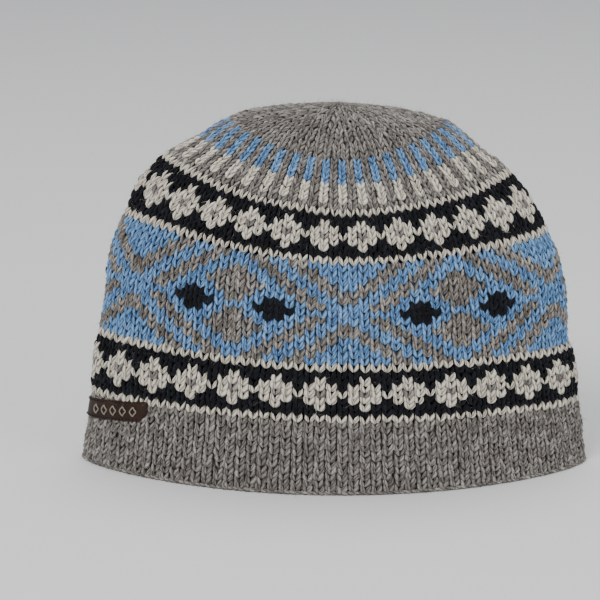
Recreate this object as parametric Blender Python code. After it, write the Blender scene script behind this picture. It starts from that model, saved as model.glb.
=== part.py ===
"""A knitted wool hat standing on its rim, open below, with its front towards -Y.

The wall is one tube of knitting in five bands that meet face to face: the ribbed brim, the lower
border, the diamond panel, the upper border and the crown, which gathers to a closed centre.
A sewn label wraps round the left side of the brim.
Metres, +Z up, origin at the bottom centre.
"""

import bpy
import bmesh
import numpy as np

# Plan of the hem and height of each band at the hat's front
HEM_WIDTH = 0.2506
HEM_DEPTH = 0.1190
BRIM_HEIGHT = 0.0362
LOWER_BORDER_HEIGHT = 0.0282
PANEL_HEIGHT = 0.0488
UPPER_BORDER_RISE = 0.0240
CROWN_RISE = 0.0418

# How the rows of stitches rise from the front to the sides of the crown's edge
SIDE_LIFT = 0.0100  # at both sides
SIDE_LEAN = 0.0040  # more at the left side (-X) and as much less at the right
LIFT_POWER = 1.5

# The knitted wall
WALL = 0.0036
BRIM_WALL = 0.0048
BORDER_PROUD = 0.0014  # stranded borders swell by this at their middle
SEAM_GAP = 0.0003  # clearance between two bodies that touch on the real hat
RIB_PITCH = 0.00560
RIB_DEPTH = 0.0007
HEM_ROUND = 0.0011

# The gathered crown
GATHER_COUNT = 20
GATHER_DEPTH = 0.0012
TIP_RADIUS = 0.0030
TIP_RISE = 0.0010

# The label: its length is measured round the hat, from its front end towards the back
LABEL_LENGTH = 0.0520
LABEL_HEIGHT = 0.0100
LABEL_THICKNESS = 0.0010
LABEL_BELOW_BORDER = 0.0018
LABEL_DROP = 0.0060  # how much lower its far end is sewn
LABEL_FRONT_END = 0.0905  # how far left of the hat's middle the label begins
LABEL_CORNER = 0.0040  # cut off the lower front corner

BAND_HEIGHTS = {
    "brim": BRIM_HEIGHT,
    "lower_border": LOWER_BORDER_HEIGHT,
    "diamond_panel": PANEL_HEIGHT,
    "upper_border": UPPER_BORDER_RISE,
    "crown": CROWN_RISE,
}

# Sections from the hem to the crown's centre. "up" is a share of the band's own height, "wide" and
# "deep" are shares of the hem's half width and half depth, "lift" and "lean" of the side sizes.
# "fold" tells how near the two sides come to a crease: 0 is an ellipse and 1 is a sharp fold.
SECTION_COLUMNS = ("band", "up", "wide", "deep", "fold", "lift", "lean")
SECTIONS = (
    ("brim", 0.00, 1.000, 1.000, 0.50, 0.00, 0.00),
    ("brim", 0.50, 0.978, 0.982, 0.50, 0.05, 0.20),
    ("lower_border", 0.00, 0.955, 0.966, 0.50, 0.10, 0.40),
    ("lower_border", 0.50, 0.940, 0.966, 0.50, 0.22, 0.55),
    ("diamond_panel", 0.00, 0.917, 0.955, 0.50, 0.36, 0.70),
    ("diamond_panel", 0.25, 0.906, 0.940, 0.50, 0.48, 0.80),
    ("diamond_panel", 0.50, 0.894, 0.922, 0.50, 0.60, 0.90),
    ("diamond_panel", 0.75, 0.868, 0.895, 0.50, 0.74, 1.00),
    ("upper_border", 0.00, 0.816, 0.850, 0.50, 0.92, 1.00),
    ("upper_border", 0.50, 0.752, 0.775, 0.45, 1.15, 1.00),
    ("crown", 0.00, 0.662, 0.665, 0.40, 1.30, 0.90),
    ("crown", 0.26, 0.560, 0.570, 0.30, 1.15, 0.50),
    ("crown", 0.52, 0.455, 0.475, 0.20, 1.00, 0.20),
    ("crown", 0.79, 0.300, 0.350, 0.05, 0.55, 0.10),
    ("crown", 0.955, 0.125, 0.170, 0.00, 0.10, 0.05),
    ("crown", 1.00, 0.000, 0.000, 0.00, 0.00, 0.00),
)

# Faces of each band: columns round the hat, then rows up its outer and its inner side
BAND_COLUMNS = 88
SIDE_CROWDING = 0.5  # a band's columns stand this share closer together at the sides
COLUMNS_PER_GATHER = 5
COLUMNS_PER_RIB = 2
MESH_ROWS = {
    "brim": (2, 1),
    "lower_border": (3, 2),
    "diamond_panel": (4, 2),
    "upper_border": (4, 2),
    "crown": (8, 5),
}
LABEL_COLUMNS = 24

# Colour and roughness of each body's yarn or leather
FINISHES = {
    "brim": ((0.30, 0.27, 0.25), 0.95),
    "lower_border": ((0.03, 0.03, 0.04), 0.95),
    "diamond_panel": ((0.16, 0.33, 0.58), 0.95),
    "upper_border": ((0.03, 0.03, 0.04), 0.95),
    "crown": ((0.30, 0.27, 0.25), 0.95),
    "label": ((0.045, 0.022, 0.012), 0.55),
}


def section_values():
    """Height, half width, half depth, fold, lift and lean of each section, in metres."""
    foot = {}
    reached = 0.0
    for band, height in BAND_HEIGHTS.items():
        foot[band] = reached
        reached += height
    values = []
    for section in SECTIONS:
        share = dict(zip(SECTION_COLUMNS, section))
        height = foot[share["band"]] + share["up"] * BAND_HEIGHTS[share["band"]]
        half_width = share["wide"] * HEM_WIDTH / 2
        half_depth = share["deep"] * HEM_DEPTH / 2
        lift = share["lift"] * SIDE_LIFT
        lean = share["lean"] * SIDE_LEAN
        values.append((height, half_width, half_depth, share["fold"], lift, lean))
    return np.array(values)


def knots_of(values):
    """How far up the wall each section lies: the length of the profile, its two sides averaged."""
    rise, across, through = np.diff(values[:, :3], axis=0).T
    return np.concatenate([[0.0], np.cumsum(np.sqrt(rise**2 + (across**2 + through**2) / 2))])


VALUES = section_values()
KNOTS = knots_of(VALUES)
SLOPES = np.gradient(VALUES, KNOTS, axis=0)
APEX = KNOTS[-1]
STARTS = {}
for row, knot in zip(SECTIONS, KNOTS):
    STARTS.setdefault(row[0], knot)


def section_at(up):
    """The section at a length up the wall, on one smooth curve through the table's sections."""
    i = int(np.clip(np.searchsorted(KNOTS, up, side="right") - 1, 0, len(KNOTS) - 2))
    span = KNOTS[i + 1] - KNOTS[i]
    u = (up - KNOTS[i]) / span
    return (
        (1 + 2 * u) * (1 - u) ** 2 * VALUES[i]
        + u * (1 - u) ** 2 * span * SLOPES[i]
        + u**2 * (3 - 2 * u) * VALUES[i + 1]
        + u**2 * (u - 1) * span * SLOPES[i + 1]
    )


def oval(half_width, half_depth, fold):
    """Fine points round the plan from its front towards +X, and the length up to each point."""
    turn = np.linspace(-0.5 * np.pi, 1.5 * np.pi, 1441)
    x = half_width * np.cos(turn)
    y = half_depth * np.sin(turn) * (1 - fold + fold * np.abs(np.sin(turn)))
    length = np.concatenate([[0.0], np.cumsum(np.hypot(np.diff(x), np.diff(y)))])
    return x, y, length


def surface(up, shares):
    """Points of the outer wall at shares of the way round it, from the front towards +X."""
    height, half_width, half_depth, fold, lift, lean = section_at(up)
    x, y, length = oval(half_width, half_depth, fold)
    way = (shares % 1.0) * length[-1]
    px = np.interp(way, length, x)
    py = np.interp(way, length, y)
    side = px / half_width
    pz = height + lift * np.abs(side) ** LIFT_POWER - lean * side
    return np.stack([px, py, pz], axis=-1)


def wall_points(up, shares, out):
    """Points of the outer wall moved out along its normal; a negative distance moves them in."""
    small = 1e-4
    along = surface(up + small, shares) - surface(up - small, shares)
    around = surface(up, shares + small) - surface(up, shares - small)
    normal = np.cross(around, along)
    normal /= np.linalg.norm(normal, axis=1, keepdims=True)
    return surface(up, shares) + normal * np.reshape(out, (-1, 1))


def shares_round(columns, crowding=0.0):
    """Shares of the way round the hat, from its front, crowded at the two sides where it turns."""
    even = np.arange(columns) / columns
    return even + crowding / (4 * np.pi) * np.sin(4 * np.pi * even)


def bridge(bm, lower, upper):
    for k in range(len(lower)):
        after = (k + 1) % len(lower)
        bm.faces.new((lower[k], lower[after], upper[after], upper[k]))


def add_object(name, bm):
    """The mesh as an object with its own material, its side faces shaded smooth."""
    mesh = bpy.data.meshes.new(name)
    bm.to_mesh(mesh)
    bm.free()
    mesh.shade_smooth()
    mesh.set_sharp_from_angle(angle=np.radians(50))
    colour, roughness = FINISHES[name]
    material = bpy.data.materials.new(name + "_finish")
    material.use_nodes = True
    shader = material.node_tree.nodes["Principled BSDF"]
    shader.inputs["Base Color"].default_value = (*colour, 1.0)
    shader.inputs["Roughness"].default_value = roughness
    shader.inputs["Metallic"].default_value = 0.0
    mesh.materials.append(material)
    obj = bpy.data.objects.new(name, mesh)
    bpy.context.scene.collection.objects.link(obj)
    return obj


def add_tube(name, rings):
    """A closed tube wall skinned over rings: up its outer side, then down its inner side."""
    bm = bmesh.new()
    loops = [[bm.verts.new(point) for point in ring] for ring in rings]
    for lower, upper in zip(loops, loops[1:] + loops[:1]):
        bridge(bm, lower, upper)
    return add_object(name, bm)


def band_ends(band):
    """The lengths up the wall at which a band's body starts and ends, clear of its neighbours."""
    names = list(BAND_HEIGHTS)
    start = STARTS[band] + (SEAM_GAP / 2 if band != names[0] else 0.0)
    end = STARTS[names[names.index(band) + 1]] - SEAM_GAP / 2 if band != names[-1] else APEX
    return start, end


def rib_count():
    hem = oval(*section_at(0.0)[1:4])[2][-1]
    return max(8, round(hem / RIB_PITCH))


def add_brim():
    """The ribbed brim, thicker than the bands above it, on a flat rounded hem."""
    ribs = rib_count()
    shares = shares_round(COLUMNS_PER_RIB * ribs)
    ripple = RIB_DEPTH / 2 * np.cos(2 * np.pi * ribs * shares)
    end = band_ends("brim")[1]
    outer_rows, inner_rows = MESH_ROWS["brim"]
    outer = [wall_points(up, shares, ripple) for up in np.linspace(HEM_ROUND, end, outer_rows + 1)]
    inner = [wall_points(up, shares, -BRIM_WALL) for up in np.linspace(end, HEM_ROUND, inner_rows + 1)]
    hem = [wall_points(0.0, shares, out) for out in (HEM_ROUND - BRIM_WALL, ripple - HEM_ROUND)]
    for ring in hem:
        ring[:, 2] = 0.0
    return add_tube("brim", outer + inner + hem)


def add_band(band, swell):
    """One band of the body; swell is how far its outer side stands proud at mid height."""
    shares = shares_round(BAND_COLUMNS, SIDE_CROWDING)
    start, end = band_ends(band)
    outer_rows, inner_rows = MESH_ROWS[band]
    outer = []
    for up in np.linspace(start, end, outer_rows + 1):
        proud = swell * np.sin(np.pi * (up - start) / (end - start))
        outer.append(wall_points(up, shares, proud))
    inner = [wall_points(up, shares, -WALL) for up in np.linspace(end, start, inner_rows + 1)]
    return add_tube(band, outer + inner)


def gather_at(up, shares):
    """The crown's radiating folds: none at its edge, full depth near its centre."""
    start = STARTS["crown"]
    fade = np.clip((up - start) / (APEX - start), 0.0, 1.0) ** 2
    return GATHER_DEPTH * fade * np.cos(2 * np.pi * GATHER_COUNT * shares)


def add_crown():
    """The crown, closed by a gathered centre that is drawn up to a small tip."""
    shares = shares_round(COLUMNS_PER_GATHER * GATHER_COUNT)
    start = band_ends("crown")[0]
    end = APEX - TIP_RADIUS
    outer_rows, inner_rows = MESH_ROWS["crown"]
    outer = []
    for up in np.linspace(start, end, outer_rows + 1):
        outer.append(wall_points(up, shares, gather_at(up, shares)))
    inner = []
    for up in np.linspace(end, start, inner_rows + 1):
        inner.append(wall_points(up, shares, gather_at(up, shares) - WALL))
    bm = bmesh.new()
    loops = [[bm.verts.new(point) for point in ring] for ring in inner + outer]
    for lower, upper in zip(loops, loops[1:]):
        bridge(bm, lower, upper)
    centre = VALUES[-1, 0] + TIP_RISE
    close_centre(bm, loops[-1], centre)
    close_centre(bm, loops[0][::-1], centre - WALL)
    return add_object("crown", bm)


def close_centre(bm, loop, height):
    tip = bm.verts.new((0.0, 0.0, height))
    for k in range(len(loop)):
        bm.faces.new((loop[k], loop[(k + 1) % len(loop)], tip))


def share_at_left(up, distance):
    """The share of the way round at which the front wall lies this far left of the middle."""
    half_width, half_depth, fold = section_at(up)[1:4]
    x, y, length = oval(half_width, half_depth, fold)
    front_left = (x <= 0) & (y <= 0) & (length > length[-1] / 2)
    reach = min(distance, half_width)
    way = np.interp(-reach, x[front_left], length[front_left])
    return way / length[-1]


def add_label():
    """A curved strip on the ribs of the brim, its lower front corner cut off."""
    top = STARTS["lower_border"] - LABEL_BELOW_BORDER
    under = RIB_DEPTH / 2 + SEAM_GAP
    over = under + LABEL_THICKNESS
    edges = (
        (top - LABEL_HEIGHT, LABEL_CORNER),
        (top - LABEL_HEIGHT + min(LABEL_CORNER, LABEL_HEIGHT / 2), 0.0),
        (top, 0.0),
    )
    bm = bmesh.new()
    lines = []
    for out, side in ((over, edges), (under, edges[::-1])):
        for up, cut in side:
            line = []
            for back in np.linspace(LABEL_LENGTH, cut, LABEL_COLUMNS + 1):
                level = up - LABEL_DROP * back / LABEL_LENGTH
                around = oval(*section_at(level)[1:4])[2][-1]
                share = share_at_left(level, LABEL_FRONT_END) - back / around
                line.append(bm.verts.new(wall_points(level, np.array([share]), out)[0]))
            lines.append(line)
    for first, second in zip(lines, lines[1:] + lines[:1]):
        for k in range(LABEL_COLUMNS):
            bm.faces.new((first[k], first[k + 1], second[k + 1], second[k]))
    for k, turn in ((0, 1), (LABEL_COLUMNS, -1)):
        end = [line[k] for line in lines]
        for quad in ((end[0], end[1], end[4], end[5]), (end[1], end[2], end[3], end[4])):
            bm.faces.new(quad[::turn])
    bmesh.ops.recalc_face_normals(bm, faces=bm.faces[:])
    return add_object("label", bm)


def main():
    for obj in list(bpy.data.objects):
        bpy.data.objects.remove(obj)
    add_brim()
    add_band("lower_border", BORDER_PROUD)
    add_band("diamond_panel", 0.0)
    add_band("upper_border", BORDER_PROUD)
    add_crown()
    add_label()


main()
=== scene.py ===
"""The dressed hat: a stranded alpaca hat standing on its rim, every stitch modelled in yarn."""

import bpy
import numpy as np
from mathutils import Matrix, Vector


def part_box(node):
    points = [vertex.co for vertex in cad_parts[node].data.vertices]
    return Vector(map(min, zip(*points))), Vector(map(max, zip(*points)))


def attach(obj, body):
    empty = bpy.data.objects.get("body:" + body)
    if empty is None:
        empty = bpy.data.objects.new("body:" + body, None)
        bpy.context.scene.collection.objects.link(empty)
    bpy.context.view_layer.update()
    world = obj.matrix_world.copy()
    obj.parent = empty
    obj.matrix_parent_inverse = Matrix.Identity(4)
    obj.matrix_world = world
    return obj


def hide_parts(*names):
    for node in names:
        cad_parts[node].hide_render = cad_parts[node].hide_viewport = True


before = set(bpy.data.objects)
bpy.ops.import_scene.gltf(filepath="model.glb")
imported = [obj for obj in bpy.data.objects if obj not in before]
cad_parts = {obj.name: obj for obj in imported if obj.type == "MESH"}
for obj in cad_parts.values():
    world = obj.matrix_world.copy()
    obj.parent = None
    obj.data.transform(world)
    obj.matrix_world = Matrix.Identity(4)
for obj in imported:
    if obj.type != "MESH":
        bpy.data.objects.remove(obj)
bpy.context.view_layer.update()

# The brim is the plain band at the bottom, twelve close rows of stitches in heathered grey alpaca.
# It is the first part knitted, in the round from the hem up, and the rest grows out of its top row.
STITCHES = 104
BRIM_ROWS = 11
RIB_DEPTH = 0.0007
SIDE_LIFT = 0.0100
SIDE_LEAN = 0.0040
LIFT_POWER = 1.5
low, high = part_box("brim")
HEM_HALF_WIDTH = (high[0] - low[0] - RIB_DEPTH) / 2
HEM_HALF_DEPTH = (high[1] - low[1] - RIB_DEPTH) / 2
# Sections of the hat by row of knitting: height at the front, then shares of the hem's half width
# and half depth, how near the sides come to a fold, and shares of the side lift and lean.
SECTION_COLUMNS = ("row", "height", "wide", "deep", "fold", "lift", "lean")
SECTIONS = (
    (0.00, 0.0000, 1.000, 1.000, 0.50, 0.00, 0.00),
    (5.50, 0.0181, 0.978, 0.982, 0.50, 0.05, 0.20),
    (11.20, 0.0362, 0.955, 0.966, 0.50, 0.10, 0.40),
    (15.75, 0.0503, 0.940, 0.966, 0.50, 0.22, 0.55),
    (20.30, 0.0644, 0.917, 0.955, 0.50, 0.36, 0.70),
    (24.10, 0.0766, 0.906, 0.940, 0.50, 0.48, 0.80),
    (27.90, 0.0888, 0.894, 0.922, 0.50, 0.60, 0.90),
    (31.70, 0.1010, 0.868, 0.895, 0.50, 0.74, 1.00),
    (35.55, 0.1132, 0.816, 0.850, 0.50, 0.92, 1.00),
    (40.20, 0.1252, 0.752, 0.775, 0.45, 1.15, 1.00),
    (44.90, 0.1372, 0.662, 0.665, 0.40, 1.30, 0.90),
    (49.75, 0.1481, 0.560, 0.570, 0.30, 1.15, 0.50),
    (54.75, 0.1589, 0.455, 0.475, 0.20, 1.00, 0.20),
    (60.00, 0.1702, 0.300, 0.350, 0.05, 0.55, 0.10),
    (65.30, 0.1771, 0.125, 0.170, 0.00, 0.10, 0.05),
    (69.00, 0.1790, 0.000, 0.000, 0.00, 0.00, 0.00),
)
column = dict(zip(SECTION_COLUMNS, np.array(SECTIONS).T))
VALUES = np.stack([
    column["height"], column["wide"] * HEM_HALF_WIDTH, column["deep"] * HEM_HALF_DEPTH,
    column["fold"], column["lift"] * SIDE_LIFT, column["lean"] * SIDE_LEAN,
], axis=1)
rise, across, through = np.diff(VALUES[:, :3], axis=0).T
KNOTS = np.concatenate([[0.0], np.cumsum(np.sqrt(rise**2 + (across**2 + through**2) / 2))])
SLOPES = np.gradient(VALUES, KNOTS, axis=0)


def section_at(up):
    """The form's values a length up the wall: a smooth curve through the table of sections."""
    i = int(np.clip(np.searchsorted(KNOTS, up, side="right") - 1, 0, len(KNOTS) - 2))
    span = KNOTS[i + 1] - KNOTS[i]
    u = (up - KNOTS[i]) / span
    return (
        (1 + 2 * u) * (1 - u) ** 2 * VALUES[i]
        + u * (1 - u) ** 2 * span * SLOPES[i]
        + u**2 * (3 - 2 * u) * VALUES[i + 1]
        + u**2 * (u - 1) * span * SLOPES[i + 1]
    )


def plan(up):
    """Fine points of the hat's plan from its front towards +X, and the length up to each."""
    half_width, half_depth, fold = section_at(up)[1:4]
    turn = np.linspace(-0.5 * np.pi, 1.5 * np.pi, 1441)
    x = half_width * np.cos(turn)
    y = half_depth * np.sin(turn) * (1 - fold + fold * np.abs(np.sin(turn)))
    return x, y, np.concatenate([[0.0], np.cumsum(np.hypot(np.diff(x), np.diff(y)))])


def surface(up, shares):
    """Points of the hat's form a length up the wall, at shares of the way round from the front."""
    height, half_width, _, _, lift, lean = section_at(up)
    x, y, length = plan(up)
    way = (shares % 1.0) * length[-1]
    px = np.interp(way, length, x)
    py = np.interp(way, length, y)
    side = px / half_width
    return np.stack([px, py, height + lift * np.abs(side) ** LIFT_POWER - lean * side], axis=-1)


# Hand knitting is never quite even: slow waves of so many turns round the hat, each with its
# drift by row, its start, how far it lifts a row and how far it moves the fabric out.
WAVES = (
    (3, 0.05, 0.4, 0.00022, 0.00030),
    (7, -0.11, 2.1, 0.00016, 0.00022),
    (13, 0.23, 4.0, 0.00011, 0.00014),
)
# The waves grow over the lowest rows and fade over the last ones before the tip
WAVES_GROW = 6
WAVES_FADE = 10
WAVES_END = 66
# At the sides the low rows hang down the form and the crown's are pulled up it, so far at these rows
HANG_ROWS = (0, 11, 20, 35, 44, 54, 66)
HANG = (0.0, 0.0044, 0.0032, 0.0006, -0.0045, -0.0075, 0.0)
# A faint crease runs across the brim, a little right of the front's middle; sizes in rows and turns
CREASE_ROW = 4.8
CREASE_ROWS = 0.8
CREASE_MIDDLE = 0.04
CREASE_REACH = 0.09
CREASE_DEPTH = 0.0007
TIP_RISE = 0.0010
TIP_ROWS = 2.6


def place(row, shares):
    """Point, outward normal, upward and roundward directions on the form at a row of knitting."""
    small = 1e-4
    up = min(np.interp(row, column["row"], KNOTS), KNOTS[-1] - 3 * small)
    shares = np.asarray(shares, float)
    along = unit(surface(up + small, shares) - surface(up - small, shares))
    around = unit(surface(up, shares + small) - surface(up, shares - small))
    normal = unit(np.cross(around, along))
    point = surface(up, shares)
    strength = np.clip(row / WAVES_GROW, 0, 1) * np.clip((WAVES_END - row) / WAVES_FADE, 0, 1)
    for turns, drift, start, lift, out in WAVES:
        wave = np.sin(2 * np.pi * (turns * shares + drift * row) + start)[..., None]
        point = point + strength * wave * (lift * along + out * normal)
    side = np.abs(point[..., 0]) / section_at(up)[1]
    point = point - (np.interp(row, HANG_ROWS, HANG) * side**3)[..., None] * along
    from_front = (shares + 0.5) % 1.0 - 0.5
    crease = np.exp(-(((row - CREASE_ROW) / CREASE_ROWS) ** 2))
    crease = crease * np.exp(-(((from_front - CREASE_MIDDLE) / CREASE_REACH) ** 2))
    tip = TIP_RISE * np.exp(-(((SECTIONS[-1][0] - row) / TIP_ROWS) ** 2))
    return point + (tip - CREASE_DEPTH * crease)[..., None] * normal, normal, along, around


def unit(v):
    """Vectors scaled to a length of one."""
    return v / np.maximum(np.linalg.norm(v, axis=-1, keepdims=True), 1e-12)


# One leg of a stitch, from its foot to its head. "out" and "thick" are millimetres, "across" and
# "wide" are shares of the stitch's width and "up" of the row's height.
LEG_COLUMNS = ("across", "up", "out", "wide", "thick")
LEG = (
    (0.020, -0.14, -0.65, 0.000, 0.00),
    (0.085, 0.05, 0.25, 0.108, 0.62),
    (0.176, 0.34, 0.78, 0.184, 0.95),
    (0.272, 0.68, 0.90, 0.214, 1.02),
    (0.326, 1.02, 0.62, 0.150, 0.86),
    (0.352, 1.32, 0.10, 0.076, 0.55),
    (0.362, 1.56, -0.65, 0.000, 0.00),
)
LEG_SIDES = np.radians((0, 48, 90, 132, 180, 270))
FLAT_BEHIND = 0.6
# Stitches of this width are as plump as the table says, wider ones a little more, narrower ones less
USUAL_WIDTH = 0.0052
PLUMP_MOST = 1.15
PLUMP_POWER = 0.6
SINK = 0.0016
# How much stitches differ: shares of their size, metres along and out, shares of a stitch aside
UNEVEN_SIZE = 0.11
UNEVEN_STITCH_SLIP = 0.00020
UNEVEN_LEG_SLIP = 0.00014
UNEVEN_PROUD = 0.00010
UNEVEN_ASIDE = 0.035
UNEVEN_PATH = 0.02
leg = dict(zip(LEG_COLUMNS, np.array(LEG).T))
rng = np.random.default_rng(7)


def skin(path, normals, wide, thick):
    """Closed rings round paths of points: a flattened round section, flatter behind."""
    along = np.gradient(path, axis=-2)
    sideways = unit(np.cross(along, normals))
    outwards = unit(np.cross(sideways, along))
    behind = np.where(np.sin(LEG_SIDES) < 0, FLAT_BEHIND, 1.0)[:, None]
    return (
        path[..., None, :]
        + wide[..., None, None] * np.cos(LEG_SIDES)[:, None] * sideways[..., None, :]
        + thick[..., None, None] * np.sin(LEG_SIDES)[:, None] * behind * outwards[..., None, :]
    )


def knit_row(row, pitch, count, phase, spread=1.0, swell=0.0, fuller=1.0):
    """The skins of both legs of every stitch in one row: spread apart, swelling out and fuller."""
    centre = (np.arange(count) + phase) / count
    ends = place(row + 0.5 * pitch, np.append(centre, centre[0] + 1.0))[0]
    width = np.linalg.norm(np.diff(ends, axis=0), axis=1)
    plump = np.minimum(width / USUAL_WIDTH, PLUMP_MOST) ** PLUMP_POWER
    size = 1 + UNEVEN_SIZE * rng.standard_normal((count, 2))
    slip = UNEVEN_STITCH_SLIP * rng.standard_normal((count, 1))
    slip = slip + UNEVEN_LEG_SLIP * rng.standard_normal((count, 2))
    proud = UNEVEN_PROUD * rng.standard_normal((count, 2))
    aside = UNEVEN_ASIDE * rng.standard_normal(count)
    path = np.empty((count, 2, len(LEG), 3))
    normals = np.empty_like(path)
    for side, sign in enumerate((-1, 1)):
        for j in range(len(LEG)):
            across = sign * leg["across"][j] * spread + aside + UNEVEN_PATH * rng.standard_normal(count)
            point, normal, along, _ = place(row + leg["up"][j] * pitch, centre + across / count)
            out = leg["out"][j] * 1e-3 * plump - SINK + swell + proud[:, side]
            path[:, side, j] = point + normal * out[:, None] + along * slip[:, side, None]
            normals[:, side, j] = normal
    wide = leg["wide"] * (np.reshape(width * fuller, (-1, 1)) * size)[..., None]
    thick = leg["thick"] * 1e-3 * (plump[:, None] * size)[..., None]
    return skin(path, normals, wide, thick).reshape(-1, len(LEG), len(LEG_SIDES), 3)


def add_mesh(name, points, faces, slots, materials, uvs=None, tone=None):
    """An object from arrays: faces, slots and uvs each hold one array per kind of face."""
    mesh = bpy.data.meshes.new(name)
    mesh.vertices.add(len(points))
    mesh.vertices.foreach_set("co", np.asarray(points, np.float32).ravel())
    sizes = np.concatenate([np.full(len(f), f.shape[1]) for f in faces])
    mesh.loops.add(int(sizes.sum()))
    mesh.loops.foreach_set("vertex_index", np.concatenate([f.ravel() for f in faces]).astype(np.int32))
    mesh.polygons.add(len(sizes))
    starts = np.concatenate([[0], np.cumsum(sizes)[:-1]])
    mesh.polygons.foreach_set("loop_start", starts.astype(np.int32))
    mesh.polygons.foreach_set("material_index", np.concatenate(slots).astype(np.int32))
    mesh.update(calc_edges=True)
    if uvs is not None:
        layer = mesh.uv_layers.new(name="yarn")
        layer.data.foreach_set("uv", np.concatenate([u.ravel() for u in uvs]).astype(np.float32))
    if tone is not None:
        mesh.attributes.new("tone", "FLOAT", "POINT").data.foreach_set("value", tone.astype(np.float32))
    mesh.shade_smooth()
    for material in materials:
        mesh.materials.append(material)
    obj = bpy.data.objects.new(name, mesh)
    bpy.context.scene.collection.objects.link(obj)
    return obj


def add_stitches(name, legs, colours, yarns):
    """One piece of knitting from the skins of its legs and the yarn of each."""
    count, stations, sides = legs.shape[:3]
    rings = legs[:, 1:-1]
    inner = stations - 2
    tips = legs[:, [0, -1], 0]
    per_leg = inner * sides + 2
    points = np.concatenate([rings.reshape(count, -1, 3), tips], axis=1).reshape(-1, 3)
    j, s = np.meshgrid(np.arange(inner - 1), np.arange(sides), indexing="ij")
    j, s = j.ravel(), s.ravel()
    t = (s + 1) % sides
    quads = np.stack([j * sides + s, (j + 1) * sides + s, (j + 1) * sides + t, j * sides + t], axis=1)
    quad_uv = np.stack([
        np.stack([s, j + 1], 1), np.stack([s, j + 2], 1),
        np.stack([s + 1, j + 2], 1), np.stack([s + 1, j + 1], 1),
    ], axis=1) / (sides, stations - 1)
    s = np.arange(sides)
    t = (s + 1) % sides
    foot = np.stack([np.full(sides, inner * sides), s, t], axis=1)
    last = (inner - 1) * sides
    head = np.stack([np.full(sides, inner * sides + 1), last + t, last + s], axis=1)
    tris = np.concatenate([foot, head])
    foot_uv = np.stack([
        np.stack([s + 0.5, s * 0], 1), np.stack([s, s * 0 + 1], 1), np.stack([s + 1, s * 0 + 1], 1),
    ], 1)
    high_v = stations - 1
    head_uv = np.stack([
        np.stack([s + 0.5, s * 0 + high_v], 1), np.stack([s + 1, s * 0 + high_v - 1], 1),
        np.stack([s, s * 0 + high_v - 1], 1),
    ], 1)
    tri_uv = np.concatenate([foot_uv, head_uv]) / (sides, stations - 1)
    base = (np.arange(count) * per_leg)[:, None, None]
    faces = [(quads[None] + base).reshape(-1, 4), (tris[None] + base).reshape(-1, 3)]
    shift = rng.random((count, 1, 1, 2))
    uvs = [quad_uv[None] + shift, tri_uv[None] + shift]
    slots = [np.repeat(colours, len(quads)), np.repeat(colours, len(tris))]
    tone = np.repeat(rng.random(count), per_leg)
    return add_mesh(name, points, faces, slots, yarns, uvs, tone)


def socket(tree, name, way, kind, value=None):
    """Give a node group an input or an output, with its usual value if it has one."""
    made = tree.interface.new_socket(name=name, in_out=way, socket_type=kind)
    if value is not None:
        made.default_value = value


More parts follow.
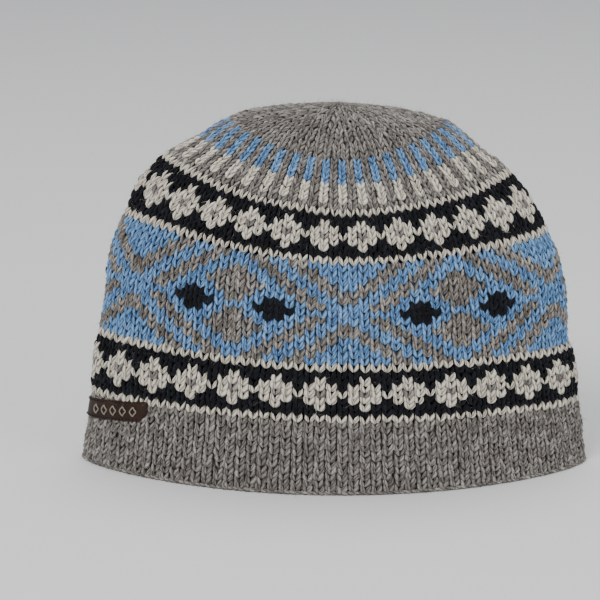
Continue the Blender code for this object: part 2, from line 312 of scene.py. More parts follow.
def fibre_group():
    """Spun wool: plies twisted together with painted shade in their grooves, streaks of lighter and
    darker fibre, and slubs.
    """
    tree = bpy.data.node_groups.new("spun_wool", "ShaderNodeTree")
    socket(tree, "Colour", "INPUT", "NodeSocketColor", (0.5, 0.5, 0.5, 1))
    socket(tree, "Pale fibre", "INPUT", "NodeSocketColor", (0.7, 0.7, 0.7, 1))
    socket(tree, "Dark fibre", "INPUT", "NodeSocketColor", (0.2, 0.2, 0.2, 1))
    socket(tree, "Heather", "INPUT", "NodeSocketFloat", 0.5)
    socket(tree, "Colour", "OUTPUT", "NodeSocketColor")
    socket(tree, "Height", "OUTPUT", "NodeSocketFloat")
    socket(tree, "Roughness", "OUTPUT", "NodeSocketFloat")
    add = tree.nodes.new
    link = tree.links.new
    given = add("NodeGroupInput")
    made = add("NodeGroupOutput")
    yarn_uv = add("ShaderNodeUVMap")
    yarn_uv.uv_map = "yarn"
    where = add("ShaderNodeTexCoord")
    # Fibres run along the yarn, a little aslant with its twist
    slant = add("ShaderNodeMapping")
    slant.inputs["Rotation"].default_value = (0, 0, 0.35)
    slant.inputs["Scale"].default_value = (4.6, 2.2, 1.0)
    link(yarn_uv.outputs["UV"], slant.inputs["Vector"])
    fibre = add("ShaderNodeTexNoise")
    fibre.inputs["Scale"].default_value = 2.9
    fibre.inputs["Detail"].default_value = 3.0
    fibre.inputs["Roughness"].default_value = 0.75
    link(slant.outputs["Vector"], fibre.inputs["Vector"])
    ply = add("ShaderNodeTexWave")
    ply.wave_type = "BANDS"
    ply.bands_direction = "DIAGONAL"
    ply.inputs["Scale"].default_value = 1.1
    ply.inputs["Distortion"].default_value = 1.6
    ply.inputs["Detail"].default_value = 1.0
    twist = add("ShaderNodeMapping")
    twist.inputs["Scale"].default_value = (1.3, 0.6, 1.0)
    link(yarn_uv.outputs["UV"], twist.inputs["Vector"])
    link(twist.outputs["Vector"], ply.inputs["Vector"])
    slub = add("ShaderNodeTexNoise")
    slub.inputs["Scale"].default_value = 170.0
    slub.inputs["Detail"].default_value = 2.0
    link(where.outputs["Object"], slub.inputs["Vector"])
    tone = add("ShaderNodeAttribute")
    tone.attribute_name = "tone"
    # Pale and dark fibre mixed in by the heather amount
    mottled = add("ShaderNodeMath")
    mottled.operation = "MULTIPLY_ADD"
    mottled.inputs[1].default_value = 0.72
    link(fibre.outputs["Fac"], mottled.inputs[0])
    half_slub = add("ShaderNodeMath")
    half_slub.operation = "MULTIPLY_ADD"
    half_slub.inputs[1].default_value = 0.22
    link(slub.outputs["Fac"], half_slub.inputs[0])
    part_tone = add("ShaderNodeMath")
    part_tone.operation = "MULTIPLY"
    part_tone.inputs[1].default_value = 0.15
    link(tone.outputs["Fac"], part_tone.inputs[0])
    link(part_tone.outputs["Value"], half_slub.inputs[2])
    link(half_slub.outputs["Value"], mottled.inputs[2])
    pale = add("ShaderNodeMapRange")
    pale.inputs["From Min"].default_value = 0.57
    pale.inputs["From Max"].default_value = 0.74
    link(mottled.outputs["Value"], pale.inputs["Value"])
    dark = add("ShaderNodeMapRange")
    dark.inputs["From Min"].default_value = 0.55
    dark.inputs["From Max"].default_value = 0.40
    link(mottled.outputs["Value"], dark.inputs["Value"])
    mixes = []
    for amount, fibre_colour in ((pale, "Pale fibre"), (dark, "Dark fibre")):
        part = add("ShaderNodeMath")
        part.operation = "MULTIPLY"
        link(amount.outputs["Result"], part.inputs[0])
        link(given.outputs["Heather"], part.inputs[1])
        mix = add("ShaderNodeMix")
        mix.data_type = "RGBA"
        link(part.outputs["Value"], mix.inputs["Factor"])
        link(mixes[-1].outputs["Result"] if mixes else given.outputs["Colour"], mix.inputs["A"])
        link(given.outputs[fibre_colour], mix.inputs["B"])
        mixes.append(mix)
    # Painted shade: the grooves between plies are darkened in the colour, as shade falls in them
    painted_groove_shade = add("ShaderNodeMapRange")
    painted_groove_shade.inputs["From Min"].default_value = 0.0
    painted_groove_shade.inputs["From Max"].default_value = 0.5
    painted_groove_shade.inputs["To Min"].default_value = 0.32
    painted_groove_shade.inputs["To Max"].default_value = 1.0
    link(ply.outputs["Fac"], painted_groove_shade.inputs["Value"])
    shaded = add("ShaderNodeMix")
    shaded.data_type = "RGBA"
    shaded.blend_type = "MULTIPLY"
    shaded.inputs["Factor"].default_value = 1.0
    link(mixes[-1].outputs["Result"], shaded.inputs["A"])
    link(painted_groove_shade.outputs["Result"], shaded.inputs["B"])
    link(shaded.outputs["Result"], made.inputs["Colour"])
    height = add("ShaderNodeMath")
    height.operation = "MULTIPLY_ADD"
    height.inputs[1].default_value = 0.6
    link(ply.outputs["Fac"], height.inputs[0])
    link(fibre.outputs["Fac"], height.inputs[2])
    link(height.outputs["Value"], made.inputs["Height"])
    rough = add("ShaderNodeMapRange")
    rough.inputs["To Min"].default_value = 0.78
    rough.inputs["To Max"].default_value = 1.0
    link(fibre.outputs["Fac"], rough.inputs["Value"])
    link(rough.outputs["Result"], made.inputs["Roughness"])
    return tree


FIBRE = fibre_group()


def yarn(name, colour, pale, dark, heather, sheen=0.25):
    """A material of spun wool: its colour, its pale and dark fibres and how heathered it is."""
    material = bpy.data.materials.new(name)
    material.use_nodes = True
    nodes, links = material.node_tree.nodes, material.node_tree.links
    shader = nodes["Principled BSDF"]
    shader.inputs["Sheen Weight"].default_value = sheen
    shader.inputs["Sheen Roughness"].default_value = 0.5
    shader.inputs["Specular IOR Level"].default_value = 0.15
    wool = nodes.new("ShaderNodeGroup")
    wool.node_tree = FIBRE
    wool.inputs["Colour"].default_value = (*colour, 1)
    wool.inputs["Pale fibre"].default_value = (*pale, 1)
    wool.inputs["Dark fibre"].default_value = (*dark, 1)
    wool.inputs["Heather"].default_value = heather
    bump = nodes.new("ShaderNodeBump")
    bump.inputs["Strength"].default_value = 0.6
    bump.inputs["Distance"].default_value = 0.00035
    links.new(wool.outputs["Colour"], shader.inputs["Base Color"])
    links.new(wool.outputs["Roughness"], shader.inputs["Roughness"])
    links.new(wool.outputs["Height"], bump.inputs["Height"])
    links.new(bump.outputs["Normal"], shader.inputs["Normal"])
    return material


GREY = yarn("grey_alpaca", (0.244, 0.219, 0.198), (0.58, 0.55, 0.51), (0.078, 0.068, 0.061), 0.9)
# The strands that lie far back behind the stitches of the grey parts, in a darker copy of the grey yarn:
# painted shade in the gaps between stitches
SHADED_GREY = yarn("deep_grey_alpaca", (0.12, 0.105, 0.093), (0.20, 0.18, 0.16), (0.05, 0.043, 0.037),
                 0.7, 0.0)
# The pattern's middle lies between columns 10 and 11, a little right of the hat's front
FRONT_COLUMN = 10.5
PATTERN_RIGHT = 1.05
PHASE = PATTERN_RIGHT - FRONT_COLUMN


def dress(piece, node):
    """Let a piece stand in for one of the hat's plain solids."""
    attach(piece, "root")
    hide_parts(node)


# The cast-on edge: a twisted line of slanting loops along the hem, under the first row. "across" is
# a share of a loop's width, "rise" is metres above the floor, "out" and "thick" are millimetres.
CAST_ON_RISE = 0.35
CAST_ON_COLUMNS = ("across", "rise", "out", "thick")
CAST_ON = (
    (-0.630, 0.0016, -2.3, 0.00),
    (-0.495, 0.0014, -1.4, 0.55),
    (-0.210, 0.0012, -0.75, 0.95),
    (0.030, 0.0011, -0.6, 1.05),
    (0.270, 0.0010, -0.8, 0.95),
    (0.540, 0.0009, -1.5, 0.55),
    (0.675, 0.0008, -2.4, 0.00),
)
CAST_ON_JITTER = 0.05
CAST_ON_UNEVEN = 0.08


def cast_on_loops(loops):
    """The skins of a ring of loops along the hem, each reaching over the next."""
    shares = (np.arange(loops) + PHASE) / loops
    line = dict(zip(CAST_ON_COLUMNS, np.array(CAST_ON).T))
    path = np.empty((loops, len(CAST_ON), 3))
    normals = np.empty_like(path)
    for j in range(len(CAST_ON)):
        jitter = CAST_ON_JITTER * rng.standard_normal(loops)
        point, normal, _, _ = place(0.0, shares + (line["across"][j] + jitter) / loops)
        path[:, j] = point + normal * (line["out"][j] * 1e-3)
        path[:, j, 2] = line["rise"][j]
        normals[:, j] = normal
    thick = line["thick"] * 1e-3 * (1 + CAST_ON_UNEVEN * rng.standard_normal((loops, 1)))
    return skin(path, normals, thick, thick)


# The brim is knitted tighter, so twelve rows fit in the height of eleven. Each column of stitches
# keeps its own small offset all the way up to the upper border.
BRIM_COURSES = 12
BRIM_SPREAD = 1.02
BRIM_WANDER = 0.03
UNEVEN_COLUMNS = 0.018
pitch = (BRIM_ROWS - CAST_ON_RISE) / BRIM_COURSES
column_phase = PHASE + UNEVEN_COLUMNS * rng.standard_normal(STITCHES)
rows = [cast_on_loops(2 * STITCHES)]
for k in range(BRIM_COURSES):
    wander = BRIM_WANDER * rng.standard_normal(STITCHES)
    rows.append(knit_row(CAST_ON_RISE + k * pitch, pitch, STITCHES, column_phase + wander, BRIM_SPREAD))
brim_legs = np.concatenate(rows)
brim_legs[..., 2] = np.maximum(brim_legs[..., 2], 0.0)
brim = add_stitches("brim_stitches", brim_legs, np.zeros(len(brim_legs), int), [GREY])
dress(brim, "brim")

# The lower border is nine stranded rows in black, cream and grey: a cream row, a row of cream
# four-stitch figures on black, and a cream row again. It is knitted straight on from the brim.
CREAM = yarn("cream_alpaca", (0.73, 0.675, 0.56), (0.88, 0.85, 0.76), (0.44, 0.385, 0.30), 0.6)
BLACK = yarn("black_alpaca", (0.0075, 0.0078, 0.0115), (0.024, 0.026, 0.040), (0.002, 0.002, 0.003),
             0.8, 0.05)
# The strands far back behind the borders' stitches, in a darker copy of the black yarn: painted shade in
# the gaps between stitches
SHADED_BLACK = yarn("deep_black_alpaca", (0.004, 0.004, 0.006), (0.012, 0.011, 0.014),
                  (0.001, 0.001, 0.002), 0.7, 0.0)
BORDER_ROWS = 9
BORDER_REPEAT = 4
# Letters for the figure's middle stitch, its two sides and the link to the next figure
BORDER_CHART = ("WWW", "KKK", "WKK", "WWK", "GWW", "WWK", "WKK", "KKK", "WWW")
BORDER_YARNS = {"K": BLACK, "W": CREAM, "G": GREY}


def border_colours(row, columns):
    """Which of the border's yarns each stitch of a row is knitted in."""
    place_in_figure = np.array([0, 1, 2, 1])[columns % BORDER_REPEAT]
    letters = np.array([list(BORDER_YARNS).index(letter) for letter in BORDER_CHART[row]])
    return letters[place_in_figure]


BAND_SPREAD = 1.04


def stranded_band(first_row, count, phase, columns, colours_of, rows_up, proud, fullness_of,
                  forward=(0, 0, 0)):
    """Legs and yarns of a band of rows; each yarn may stand a little forward of the others."""
    legs, colours = [], []
    for k in range(rows_up):
        colour = colours_of(k, columns)
        bulge = proud * np.sin(np.pi * (k + 1) / (rows_up + 1)) + np.array(forward)[colour]
        fuller = fullness_of(k, columns, colour)
        legs.append(knit_row(first_row + k, 1.0, count, phase, BAND_SPREAD, bulge, fuller))
        colours.append(np.repeat(colour, 2))
    return np.concatenate(legs), np.concatenate(colours)


def columns_from_front(count):
    """Column numbers round the hat, counted both ways from the front so the join is at the back."""
    k = np.arange(count)
    return np.where(k < count // 2 + FRONT_COLUMN, k, k - count)


BORDER_PROUD = 0.0012
# How wide each of the border's yarns lies: cream is the fullest, but drawn thin in its edge rows
# and where one stitch links two figures
BORDER_FULLNESS = (1.0, 1.16, 1.04)
EDGE_FULLNESS = 0.94
LINK_FULLNESS = 0.86


def border_fullness(row, columns, colour):
    """How wide the yarn of each stitch of a border lies."""
    fuller = np.array(BORDER_FULLNESS)[colour]
    cream = colour == list(BORDER_YARNS).index("W")
    if row in (0, BORDER_ROWS - 1):
        fuller[cream] = EDGE_FULLNESS
    fuller[cream & (row == BORDER_ROWS // 2) & (columns % BORDER_REPEAT == 2)] = LINK_FULLNESS
    return fuller


columns = columns_from_front(STITCHES)
lower_legs, lower_yarns = stranded_band(
    BRIM_ROWS, STITCHES, column_phase, columns, border_colours, BORDER_ROWS, BORDER_PROUD, border_fullness
)
lower_border = add_stitches("lower_border_stitches", lower_legs, lower_yarns, list(BORDER_YARNS.values()))
dress(lower_border, "lower_border")

# The diamond panel is fifteen stranded rows in sky blue and taupe, with diamonds, crosses and small
# black figures. Its pattern repeats every 22 stitches and meets at the back's centre.
BLUE = yarn("blue_alpaca", (0.155, 0.335, 0.62), (0.36, 0.56, 0.81), (0.050, 0.125, 0.29), 0.9)
TAUPE = yarn("taupe_alpaca", (0.250, 0.222, 0.195), (0.64, 0.59, 0.52), (0.074, 0.060, 0.050), 1.0)
# The strands far back behind the panel's stitches, in a darker copy of the blue yarn: painted shade in
# the gaps between stitches
SHADED_BLUE = yarn("deep_blue_alpaca", (0.065, 0.11, 0.19), (0.11, 0.16, 0.24), (0.03, 0.05, 0.08),
                 0.7, 0.0)
PANEL_FIRST = BRIM_ROWS + BORDER_ROWS
PANEL_ROWS = 15
PANEL_REPEAT = 22
# Half of the repeat, from the panel's edge row to its middle row; both are mirrored
PANEL_CHART = (
    "BTTBBTTBBBB",
    "BBTTBBTTBBB",
    "TBBTTBBTTBB",
    "TTBBTTBBTTB",
    "TTTBBTTBBTT",
    "TTBBBBTTBBT",
    "TBBKKBBTTBB",
    "BBKKKKBBBBB",
)
PANEL_YARNS = {"B": BLUE, "T": TAUPE, "K": BLACK}
# The black stitches lie fuller than the blue and taupe ones, and over them
PANEL_FULLNESS = (1.0, 1.02, 1.22)
PANEL_FORWARD = (0.0, 0.0, 0.0007)


def panel_colours(row, columns):
    """Which of the panel's yarns each stitch of a row is knitted in."""
    line = PANEL_CHART[min(row, PANEL_ROWS - 1 - row)]
    letters = np.array([list(PANEL_YARNS).index(letter) for letter in line + line[::-1]])
    return letters[columns % PANEL_REPEAT]


def panel_fullness(row, columns, colour):
    """How wide the yarn of each stitch of the panel lies."""
    return np.array(PANEL_FULLNESS)[colour]


panel_legs, panel_yarns = stranded_band(
    PANEL_FIRST, STITCHES, column_phase, columns, panel_colours, PANEL_ROWS, 0.0, panel_fullness,
    PANEL_FORWARD
)
panel = add_stitches("diamond_panel_stitches", panel_legs, panel_yarns, list(PANEL_YARNS.values()))
dress(panel, "diamond_panel")

# The upper border repeats the lower one on fewer stitches, because the hat narrows here. It bends
# over the hat's shoulder, so its rows rise towards the sides.
UPPER_FIRST = PANEL_FIRST + PANEL_ROWS
UPPER_STITCHES = 100
UPPER_PHASE = -1.4
columns = columns_from_front(UPPER_STITCHES)
upper_phase = UPPER_PHASE + UNEVEN_COLUMNS * rng.standard_normal(UPPER_STITCHES)
upper_legs, upper_yarns = stranded_band(
    UPPER_FIRST, UPPER_STITCHES, upper_phase, columns, border_colours, BORDER_ROWS, BORDER_PROUD,
    border_fullness
)
upper_border = add_stitches("upper_border_stitches", upper_legs, upper_yarns, list(BORDER_YARNS.values()))
dress(upper_border, "upper_border")

# The crown closes the hat: a grey row, cream then blue rays one stitch wide with grey between, and
# plain grey whose stitches are knitted together until a few are left and drawn in to a tip.
CROWN_FIRST = UPPER_FIRST + BORDER_ROWS
RAY_PHASE = 0.55
# From each of these rows up, so many stitches are left round the crown
CROWN_DECREASES = ((0, 80), (10, 60), (13, 48), (16, 38), (18, 30), (20, 22), (22, 15), (24, 8))
CROWN_ROWS = 25
RAY_ROWS = {"W": range(1, 5), "B": range(5, 10)}
CROWN_YARNS = {"G": GREY, "W": CREAM, "B": BLUE}
CROWN_FULLNESS = (1.0, 1.16, 1.1)
# Each decrease shifts the columns, so that none lines up into a seam
CROWN_SHIFT = 0.31


def crown_colours(row, count):
    """Every second stitch of the ray rows is cream or blue, and all the others are grey."""
    colours = np.zeros(count, int)
    for letter, ray_rows in RAY_ROWS.items():
        if row in ray_rows:
            colours[::2] = list(CROWN_YARNS).index(letter)
    return colours


crown_legs, crown_yarns = [], []
for k in range(CROWN_ROWS):
    left = [stitches for start, stitches in CROWN_DECREASES if start <= k]
    count = left[-1]
    colour = crown_colours(k, count)
    fuller = np.array(CROWN_FULLNESS)[colour]
    phase = RAY_PHASE + CROWN_SHIFT * (len(left) - 1)
    crown_legs.append(knit_row(CROWN_FIRST + k, 1.0, count, phase, fuller=fuller))
    crown_yarns.append(np.repeat(colour, 2))
crown_legs, crown_yarns = np.concatenate(crown_legs), np.concatenate(crown_yarns)
crown = add_stitches("crown_stitches", crown_legs, crown_yarns, list(CROWN_YARNS.values()))
dress(crown, "crown")

# The inside of the hat is the purl side of the same knitting: low interlocked bumps behind every
# stitch, in the same yarns. It is the back of the wall that the stitches outside belong to.
WALL = 0.0036
BRIM_WALL = 0.0045
STRANDS_BEHIND = 0.0004
BUMP = 0.00045
ZIGZAG = 0.00036
# The wall has a point behind each leg, a quarter of a stitch to either side of its middle
BEHIND_LEG = 0.25


def add_wall(name, first_row, count, phase, colours, yarns, deep, wall_depth=WALL):
    """A closed tube behind a band: strands outside in a darker yarn, painted shade in the gaps between
    stitches, and purl bumps inside.
    """
    rows_up = len(colours)
    deep_slot = len(yarns)
    shares = (np.arange(2 * count) / 2 + phase - BEHIND_LEG) / count
    turn = np.where(np.arange(2 * count) % 2 == 0, 1.0, -1.0)
    stitch = np.repeat(np.arange(count), 2)
    rings, slots = [], []
    # The outer rings take the darker yarn: painted shade seen between the stitches
    for k in range(rows_up + 1):
        point, normal, _, _ = place(first_row + k, shares)
        rings.append(point - normal * (SINK + STRANDS_BEHIND))
        slots.append(np.full(2 * count, deep_slot))
    for k in range(2 * rows_up, -1, -1):
        point, normal, along, _ = place(first_row + k / 2, shares)
        out = -wall_depth + (-BUMP if k % 2 == 0 else BUMP)
        shift = 0.0 if k in (0, 2 * rows_up) else ZIGZAG
        rings.append(point + normal * out + along * (shift * turn)[:, None])
        slots.append(np.asarray(colours[min(max((k - 1) // 2, 0), rows_up - 1)])[stitch])
    points = np.array(rings)
    n_rings, n_round = points.shape[:2]
    i, k = (grid.ravel() for grid in np.meshgrid(np.arange(n_rings), np.arange(n_round), indexing="ij"))
    next_i, next_k = (i + 1) % n_rings, (k + 1) % n_round
    corners = (i * n_round + k, i * n_round + next_k, next_i * n_round + next_k, next_i * n_round + k)
    uv = np.stack([np.stack([k + a, i + b], 1) for a, b in ((0, 0), (1, 0), (1, 1), (0, 1))], 1) * 0.5
    points = points.reshape(-1, 3)
    points[:, 2] = np.maximum(points[:, 2], 0.0)
    wall = add_mesh(name, points, [np.stack(corners, 1)], [np.array(slots).ravel()], yarns + [deep], [uv])
    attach(wall, "root")


border_yarns = list(BORDER_YARNS.values())
front = columns_from_front(STITCHES)
upper_front = columns_from_front(UPPER_STITCHES)
add_wall("brim_inside", 0, STITCHES, PHASE, [np.zeros(STITCHES, int)] * BRIM_ROWS, [GREY],
         SHADED_GREY, BRIM_WALL)
add_wall("lower_border_inside", BRIM_ROWS, STITCHES, PHASE,
         [border_colours(k, front) for k in range(BORDER_ROWS)], border_yarns, SHADED_BLACK)
add_wall("diamond_panel_inside", PANEL_FIRST, STITCHES, PHASE,
         [panel_colours(k, front) for k in range(PANEL_ROWS)], list(PANEL_YARNS.values()), SHADED_BLUE)
add_wall("upper_border_inside", UPPER_FIRST, UPPER_STITCHES, UPPER_PHASE,
         [border_colours(k, upper_front) for k in range(BORDER_ROWS)], border_yarns, SHADED_BLACK)
crown_count = CROWN_DECREASES[0][1]
add_wall("crown_inside", CROWN_FIRST, crown_count, RAY_PHASE,
         [crown_colours(k, crown_count) for k in range(CROWN_ROWS)], list(CROWN_YARNS.values()),
         SHADED_GREY)

# Alpaca yarn is hairy: fine loose fibres, most of them 1 to 5 mm long, stand off the stitches all
# over the hat and blur its outline. Each is a curved, tapering ribbon rooted in a stitch's face.
FIBRES_PER_LEG = 2.5
FIBRE_LENGTHS = (0.0010, 0.0036)
FIBRE_HALF_WIDTH = 0.000042
FIBRE_STEPS = 3
FIBRE_CURL = 0.9
FIBRE_TAPER = 1.15
FIBRE_FLOOR = 0.0001
# How much of a fibre's heading is outward, how much is chance, and how little outward it may be
FIBRE_OUTWARD = 0.45
FIBRE_CHANCE = 0.55
FIBRE_LEAST_OUT = 0.15


def add_fibres(name, legs, yarn_of_leg, yarns):
    """Fibres rooted in the faces of a band's legs, each in its own leg's yarn."""
    count = int(FIBRES_PER_LEG * len(legs))
    source = rng.integers(0, len(legs), count)
    ring = rng.integers(1, len(LEG) - 1, count)
    root = legs[source, ring, rng.integers(1, 4, count)]
    out = unit(root - legs[source, ring].mean(axis=1))
    heading = unit(FIBRE_OUTWARD * out + FIBRE_CHANCE * rng.standard_normal((count, 3)))
    heading = unit(heading + np.maximum(FIBRE_LEAST_OUT - (heading * out).sum(1), 0)[:, None] * out)
    curl = FIBRE_CURL * rng.standard_normal((count, 3))
    length = rng.uniform(*FIBRE_LENGTHS, count)[:, None]
    sideways = unit(np.cross(heading, rng.standard_normal((count, 3))))
    points = np.empty((count, 2 * FIBRE_STEPS, 3))
    for k in range(FIBRE_STEPS):
        t = k / (FIBRE_STEPS - 1)
        centre = root + length * (t * heading + 0.5 * t * t * curl)
        half = FIBRE_HALF_WIDTH * (FIBRE_TAPER - t) * sideways
        points[:, 2 * k] = centre - half
        points[:, 2 * k + 1] = centre + half
    points[..., 2] = np.maximum(points[..., 2], FIBRE_FLOOR)
    k = 2 * np.arange(FIBRE_STEPS - 1)
    ribbon = np.stack([k, k + 1, k + 3, k + 2], axis=1)
    quads = (ribbon[None] + (np.arange(count) * 2 * FIBRE_STEPS)[:, None, None]).reshape(-1, 4)
    uv = np.repeat(rng.random((count, 1, 2)), len(quads) // count * 4, axis=1)
    slots = np.repeat(yarn_of_leg[source], len(ribbon))
    fibres = add_mesh(name, points.reshape(-1, 3), [quads], [slots], yarns, [uv])
    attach(fibres, "root")


add_fibres("brim_fibres", brim_legs, np.zeros(len(brim_legs), int), [GREY])
add_fibres("lower_border_fibres", lower_legs, lower_yarns, border_yarns)
add_fibres("diamond_panel_fibres", panel_legs, panel_yarns, list(PANEL_YARNS.values()))
add_fibres("upper_border_fibres", upper_legs, upper_yarns, border_yarns)
add_fibres("crown_fibres", crown_legs, crown_yarns, list(CROWN_YARNS.values()))

# The label is a dark brown leather strip with its lower front corner cut off, sewn flat round the
# left side of the brim, its top edge just over the border's foot. It carries a plain row of diamonds.
LABEL_FRONT_END = 0.0905
LABEL_LENGTH = 0.0520
LABEL_HEIGHT = 0.0100
LABEL_CORNER = 0.0050
LABEL_CORNER_RISE = 0.0044
LABEL_OVER_BORDER = 0.0014
BORDER_KNOT = 2
LABEL_DROP = 0.0048
LABEL_THICK = 0.0009
LABEL_COLUMNS = 110
# At its ends the strip has this share of its thickness, and it gains a whole one in so many metres
END_SHARE = 0.35
END_LENGTH = 0.0006
# Across the strip: share of its height, then share of its thickness, from the bottom edge up
LABEL_SECTION = ((0.0, 0.0), (0.0, 0.55), (0.035, 0.85), (0.09, 0.97), (0.3, 1.0), (0.5, 1.0), (0.7, 1.0),
                 (0.91, 0.97), (0.965, 0.85), (1.0, 0.55), (1.0, 0.0))
label_top = KNOTS[BORDER_KNOT] + LABEL_OVER_BORDER


def label_point(along, rise, out):
    """A point of the label: how far round from its front end, up from its bottom edge and out."""
    up = label_top - LABEL_HEIGHT + rise - LABEL_DROP * along / LABEL_LENGTH
    x, y, length = plan(up)
    front_left = (x <= 0) & (y <= 0) & (length > length[-1] / 2)
    way = np.interp(-LABEL_FRONT_END, x[front_left], length[front_left])
    row = np.interp(up, KNOTS, column["row"])
    point, normal, _, _ = place(row, np.array([(way - along) / length[-1]]))
    return (point + out * normal)[0]


def leather():
    """Smooth dark brown leather with a fine grain and a clouded, dull shine."""
    material = bpy.data.materials.new("brown_leather")
    material.use_nodes = True
    nodes, links = material.node_tree.nodes, material.node_tree.links
    shader = nodes["Principled BSDF"]
    where = nodes.new("ShaderNodeTexCoord")
    grain = nodes.new("ShaderNodeTexVoronoi")
    grain.inputs["Scale"].default_value = 1500.0
    cloud = nodes.new("ShaderNodeTexNoise")
    cloud.inputs["Scale"].default_value = 160.0
    cloud.inputs["Detail"].default_value = 4.0
    ramp = nodes.new("ShaderNodeValToRGB")
    ramp.color_ramp.elements[0].position = 0.3
    ramp.color_ramp.elements[0].color = (0.012, 0.0040, 0.0020, 1)
    ramp.color_ramp.elements[1].position = 0.75
    ramp.color_ramp.elements[1].color = (0.030, 0.0115, 0.0060, 1)
    shader.inputs["Specular IOR Level"].default_value = 0.22
    gloss = nodes.new("ShaderNodeMapRange")
    gloss.inputs["To Min"].default_value = 0.42
    gloss.inputs["To Max"].default_value = 0.62
    bump = nodes.new("ShaderNodeBump")
    bump.inputs["Strength"].default_value = 0.35
    bump.inputs["Distance"].default_value = 0.0002
    links.new(where.outputs["Object"], grain.inputs["Vector"])
    links.new(where.outputs["Object"], cloud.inputs["Vector"])
    links.new(cloud.outputs["Fac"], ramp.inputs["Fac"])
    links.new(ramp.outputs["Color"], shader.inputs["Base Color"])
    links.new(cloud.outputs["Fac"], gloss.inputs["Value"])
    links.new(gloss.outputs["Result"], shader.inputs["Roughness"])
    links.new(grain.outputs["Distance"], bump.inputs["Height"])
    links.new(bump.outputs["Normal"], shader.inputs["Normal"])
    return material


strip = []
for i in range(LABEL_COLUMNS + 1):
    along = LABEL_LENGTH * i / LABEL_COLUMNS
    end_round = min(1.0, (min(along, LABEL_LENGTH - along) / END_LENGTH + END_SHARE))
    cut = LABEL_CORNER_RISE * max(0.0, 1 - along / LABEL_CORNER)
    for rise, thick in LABEL_SECTION:
        height = cut + rise * (LABEL_HEIGHT - cut)
        strip.append(label_point(along, height, thick * end_round * LABEL_THICK))
ring = len(LABEL_SECTION)
quads = []
for i in range(LABEL_COLUMNS):
    for j in range(ring):
        after = (j + 1) % ring
        quads.append((i * ring + j, (i + 1) * ring + j, (i + 1) * ring + after, i * ring + after))
caps = [list(range(ring)), [LABEL_COLUMNS * ring + j for j in reversed(range(ring))]]
fans = [(cap[0], cap[j], cap[j + 1]) for cap in caps for j in range(1, ring - 1)]
faces = [np.array(quads), np.array(fans)]
label = add_mesh("label_strip", strip, faces, [np.zeros(len(f), int) for f in faces], [leather()])
dress(label, "label")

# Five cream diamonds and a line of brown stitches along each long edge are sewn into the strip
DIAMOND_PLACES = (0.0085, 0.0150, 0.0215, 0.0280, 0.0345)
DIAMOND_HALF_LENGTH = 0.0021
DIAMOND_HALF_HEIGHT = 0.0024
THREAD = 0.00036
STITCH_STEP = 0.0022
STITCH_SHARE = 0.62
EDGE_INSET = 0.0009
THREAD_SIDES = 6
THREAD_STEPS = 5
# A thread's middle arches up and its ends sink in, in shares of its half thickness
THREAD_ARCH = 0.9
THREAD_SINK = 0.2
STITCH_MARGIN = 0.001
thread_points, thread_faces, thread_slots = [], [], []


def sew(start, end, slot):
    """One short thread between two places on the label, each given by length along and height."""
    base = len(thread_points)
    for k in range(THREAD_STEPS):
        t = k / (THREAD_STEPS - 1)
        along = start[0] + t * (end[0] - start[0])
        height = start[1] + t * (end[1] - start[1])
        lift = THREAD * (THREAD_ARCH * np.sin(np.pi * t) - THREAD_SINK)
        centre = label_point(along, height, LABEL_THICK + lift)
        ahead = label_point(along + (end[0] - start[0]) * 0.01, height + (end[1] - start[1]) * 0.01,
                            LABEL_THICK + lift)
        forward = unit(ahead - centre)
        out = unit(label_point(along, height, 2 * LABEL_THICK) - centre)
        sideways = np.cross(forward, out)
        for side in range(THREAD_SIDES):
            turn = 2 * np.pi * side / THREAD_SIDES
            thread_points.append(centre + THREAD * (np.cos(turn) * sideways + np.sin(turn) * out))
    for k in range(THREAD_STEPS - 1):
        for side in range(THREAD_SIDES):
            after = (side + 1) % THREAD_SIDES
            low_ring, high_ring = base + k * THREAD_SIDES, base + (k + 1) * THREAD_SIDES
            thread_faces.append((low_ring + side, low_ring + after, high_ring + after, high_ring + side))
            thread_slots.append(slot)


for middle in DIAMOND_PLACES:
    half_way = LABEL_HEIGHT / 2
    corners = [(middle, half_way - DIAMOND_HALF_HEIGHT), (middle + DIAMOND_HALF_LENGTH, half_way),
               (middle, half_way + DIAMOND_HALF_HEIGHT), (middle - DIAMOND_HALF_LENGTH, half_way)]
    for k in range(4):
        sew(corners[k], corners[(k + 1) % 4], 0)
for edge in (EDGE_INSET, LABEL_HEIGHT - EDGE_INSET):
    for k in range(int((LABEL_LENGTH - LABEL_CORNER - 2 * STITCH_MARGIN) / STITCH_STEP)):
        along = LABEL_CORNER + STITCH_MARGIN + k * STITCH_STEP
        sew((along, edge), (along + STITCH_SHARE * STITCH_STEP, edge), 1)
CREAM_THREAD = yarn("cream_thread", (0.84, 0.77, 0.62), (0.90, 0.85, 0.74), (0.60, 0.52, 0.38), 0.5, 0.1)
BROWN_THREAD = yarn("brown_thread", (0.075, 0.038, 0.022), (0.11, 0.06, 0.035), (0.03, 0.015, 0.01),
                    0.5, 0.1)
stitching = add_mesh("label_stitching", thread_points, [np.array(thread_faces)], [np.array(thread_slots)],
                     [CREAM_THREAD, BROWN_THREAD])
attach(stitching, "root")

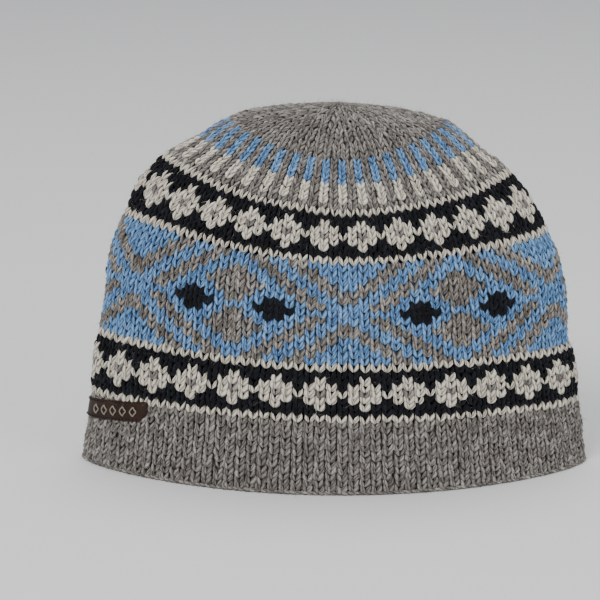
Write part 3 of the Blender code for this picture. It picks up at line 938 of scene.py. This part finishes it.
# The studio: a pale floor that the hat stands on, soft light from above the front, and the camera.
floor_mesh = bpy.data.meshes.new("floor")
FLOOR_HALF = 4.0
floor_mesh.from_pydata(
    [(-FLOOR_HALF, -FLOOR_HALF, 0), (FLOOR_HALF, -FLOOR_HALF, 0), (FLOOR_HALF, FLOOR_HALF, 0),
     (-FLOOR_HALF, FLOOR_HALF, 0)], [], [(0, 1, 2, 3)])
floor = bpy.data.objects.new("floor", floor_mesh)
bpy.context.scene.collection.objects.link(floor)
PAPER = bpy.data.materials.new("pale_paper")
PAPER.use_nodes = True
PAPER.node_tree.nodes["Principled BSDF"].inputs["Base Color"].default_value = (0.80, 0.80, 0.80, 1)
PAPER.node_tree.nodes["Principled BSDF"].inputs["Roughness"].default_value = 0.9
floor_mesh.materials.append(PAPER)


def look_at(obj, target):
    """Turn a light or the camera so that it faces a point."""
    obj.rotation_euler = (Vector(target) - obj.location).to_track_quat("-Z", "Y").to_euler()


def add_light(name, place_at, size, power, target=(0, 0, 0.09)):
    """A round soft light of so many watts, aimed at the middle of the hat."""
    light = bpy.data.lights.new(name, "AREA")
    light.shape = "DISK"
    light.size = size
    light.energy = power
    obj = bpy.data.objects.new(name, light)
    obj.location = place_at
    look_at(obj, target)
    bpy.context.scene.collection.objects.link(obj)
    return obj


add_light("key", (-0.7, -1.3, 1.5), 0.9, 26)
add_light("fill", (1.3, -1.2, 0.7), 1.2, 9)
add_light("top", (0.1, 0.5, 1.7), 1.0, 10)
world = bpy.data.worlds.new("soft_room")
world.use_nodes = True
world.node_tree.nodes["Background"].inputs["Color"].default_value = (0.95, 0.97, 1.0, 1)
world.node_tree.nodes["Background"].inputs["Strength"].default_value = 0.55
bpy.context.scene.world = world

CAMERA_RISE = np.radians(14.5)
CAMERA_AWAY = 1.35
FRAME_WIDTH = 0.294
SENSOR = 36.0
AIM = Vector((-0.0174, 0.0, 0.0810))
CAMERA_ROLL = np.radians(0.3)
camera_data = bpy.data.cameras.new("camera")
camera_data.sensor_width = SENSOR
camera_data.lens = SENSOR * CAMERA_AWAY / FRAME_WIDTH
camera = bpy.data.objects.new("camera", camera_data)
camera.location = AIM + Vector((0, -np.cos(CAMERA_RISE), np.sin(CAMERA_RISE))) * CAMERA_AWAY
look_at(camera, AIM)
camera.rotation_euler.rotate_axis("Z", CAMERA_ROLL)
bpy.context.scene.collection.objects.link(camera)
bpy.context.scene.camera = camera
